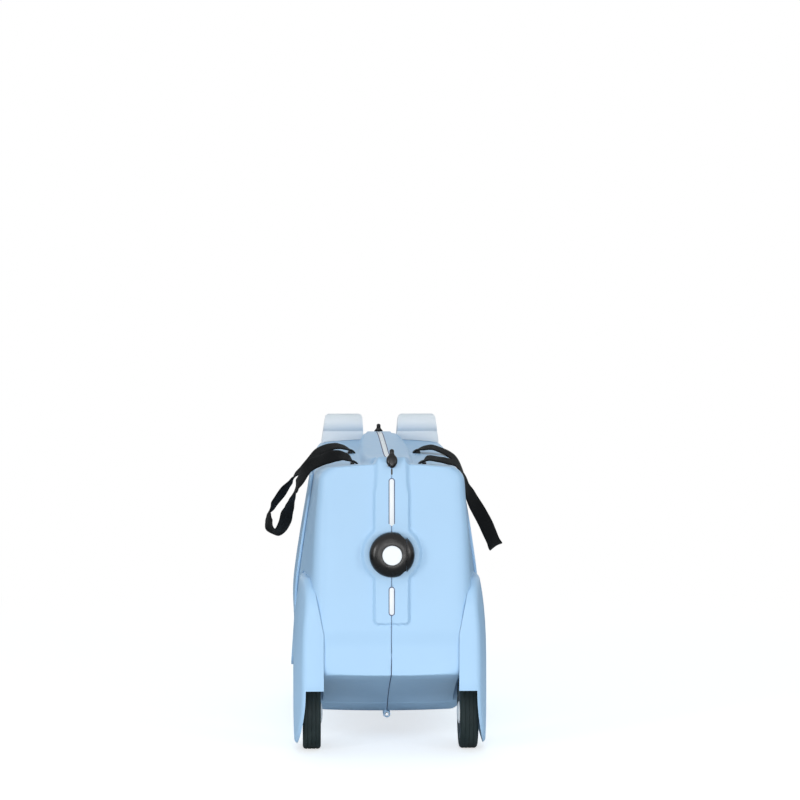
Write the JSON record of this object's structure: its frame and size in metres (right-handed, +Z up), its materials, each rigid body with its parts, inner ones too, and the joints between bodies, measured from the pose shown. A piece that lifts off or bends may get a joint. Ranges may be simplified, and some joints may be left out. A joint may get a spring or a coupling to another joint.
{
  "type": "kids ride-on suitcase",
  "caption": "Hard-shell ride-on suitcase for a child: hinged halves on housed wheels, with latches, saddle grips, tow-strap knobs and webbing carry handles.",
  "frame": {"origin": "on the floor, under the middle of the case, in the seam's plane", "axes": "+Z up, +Y forward towards the end with the grips, +X to the rider's right; the floor is z = 0"},
  "size_m": [0.277, 0.5416, 0.3551],
  "materials": {
    "body_blue": "satin light blue",
    "grip_pale": "satin pale blue",
    "white_plastic": "semi-gloss",
    "black_plastic": "glossy",
    "tyre": "matte",
    "hub": "satin",
    "webbing": "woven",
    "steel": "plated"
  },
  "bodies": {
    "left_half": {"left_shell": "body_blue", "left_grip": "grip_pale", "left_grip_screw": "steel", "left_flap": "body_blue", "rear_left_housing": "body_blue", "rear_left_housing_screw": "steel", "rear_left_axle_bolt": "steel", "rear_left_anchor": "black_plastic", "front_left_housing": "body_blue", "front_left_housing_screw": "steel", "front_left_axle_bolt": "steel", "front_left_anchor": "black_plastic", "hinge_pin": "steel", "top_strip": "white_plastic", "rear_upper_strip": "white_plastic", "rear_lower_strip": "white_plastic", "rear_knob": "black_plastic", "rear_badge": "white_plastic", "rear_knob_screw": "steel", "rear_latch_pin": "steel", "front_upper_strip": "white_plastic", "front_lower_strip": "white_plastic", "front_knob": "black_plastic", "front_badge": "white_plastic", "front_knob_screw": "steel", "front_latch_pin": "steel"},
    "right_half": {"right_shell": "body_blue", "right_grip": "grip_pale", "right_grip_screw": "steel", "right_flap": "body_blue", "rear_right_housing": "body_blue", "rear_right_housing_screw": "steel", "rear_right_axle_bolt": "steel", "rear_right_anchor": "black_plastic", "front_right_housing": "body_blue", "front_right_housing_screw": "steel", "front_right_axle_bolt": "steel", "front_right_anchor": "black_plastic"},
    "rear_left_wheel": {"rear_left_tyre": "tyre", "rear_left_hub": "hub", "rear_left_cap": "white_plastic"},
    "rear_right_wheel": {"rear_right_tyre": "tyre", "rear_right_hub": "hub", "rear_right_cap": "white_plastic"},
    "front_left_wheel": {"front_left_tyre": "tyre", "front_left_hub": "hub", "front_left_cap": "white_plastic"},
    "front_right_wheel": {"front_right_tyre": "tyre", "front_right_hub": "hub", "front_right_cap": "white_plastic"},
    "rear_latch_lever": {"rear_latch": "black_plastic"},
    "rear_knob_gate": {"rear_gate": "black_plastic"},
    "front_latch_lever": {"front_latch": "black_plastic"},
    "front_knob_gate": {"front_gate": "black_plastic"},
    "left_handle": {"left_carry_handle": "webbing"},
    "right_handle": {"right_carry_handle": "webbing"}
  },
  "joints": [
    {"name": "case_hinge", "type": "hinge", "parent": "left_half", "child": "right_half", "pos_m": [0, 0, 0.022], "axis": [0, 1, 0], "range_deg": [0, 120]},
    {"name": "rear_left_wheel_spin", "type": "hinge", "parent": "left_half", "child": "rear_left_wheel", "pos_m": [-0.087, -0.185, 0.0395], "axis": [1, 0, 0], "continuous": true},
    {"name": "rear_right_wheel_spin", "type": "hinge", "parent": "right_half", "child": "rear_right_wheel", "pos_m": [0.087, -0.185, 0.0395], "axis": [1, 0, 0], "continuous": true},
    {"name": "front_left_wheel_spin", "type": "hinge", "parent": "left_half", "child": "front_left_wheel", "pos_m": [-0.087, 0.185, 0.0395], "axis": [1, 0, 0], "continuous": true},
    {"name": "front_right_wheel_spin", "type": "hinge", "parent": "right_half", "child": "front_right_wheel", "pos_m": [0.087, 0.185, 0.0395], "axis": [1, 0, 0], "continuous": true},
    {"name": "rear_latch_hinge", "type": "hinge", "parent": "left_half", "child": "rear_latch_lever", "pos_m": [0, -0.2574, 0.3205], "axis": [1, 0, 0], "range_deg": [0, 100]},
    {"name": "front_latch_hinge", "type": "hinge", "parent": "left_half", "child": "front_latch_lever", "pos_m": [0, 0.2574, 0.32152], "axis": [-1, 0, 0], "range_deg": [0, 100]},
    {"name": "rear_gate_slide", "type": "slide", "parent": "left_half", "child": "rear_knob_gate", "axis": [1, 0, 0], "range_m": [0, 0.0024], "stiffness_N_per_m": 600, "springref_m": -0.003},
    {"name": "front_gate_slide", "type": "slide", "parent": "left_half", "child": "front_knob_gate", "axis": [1, 0, 0], "range_m": [0, 0.0024], "stiffness_N_per_m": 600, "springref_m": -0.003},
    {"name": "left_handle_lift", "type": "hinge", "parent": "left_half", "child": "left_handle", "pos_m": [-0.0405, -0.051, 0.31838], "axis": [0, 0.9998, 0.0186], "range_deg": [0, 115]},
    {"name": "right_handle_lift", "type": "hinge", "parent": "right_half", "child": "right_handle", "pos_m": [0.0405, -0.051, 0.31838], "axis": [0, -0.9998, -0.0186], "range_deg": [0, 115]}
  ]
}
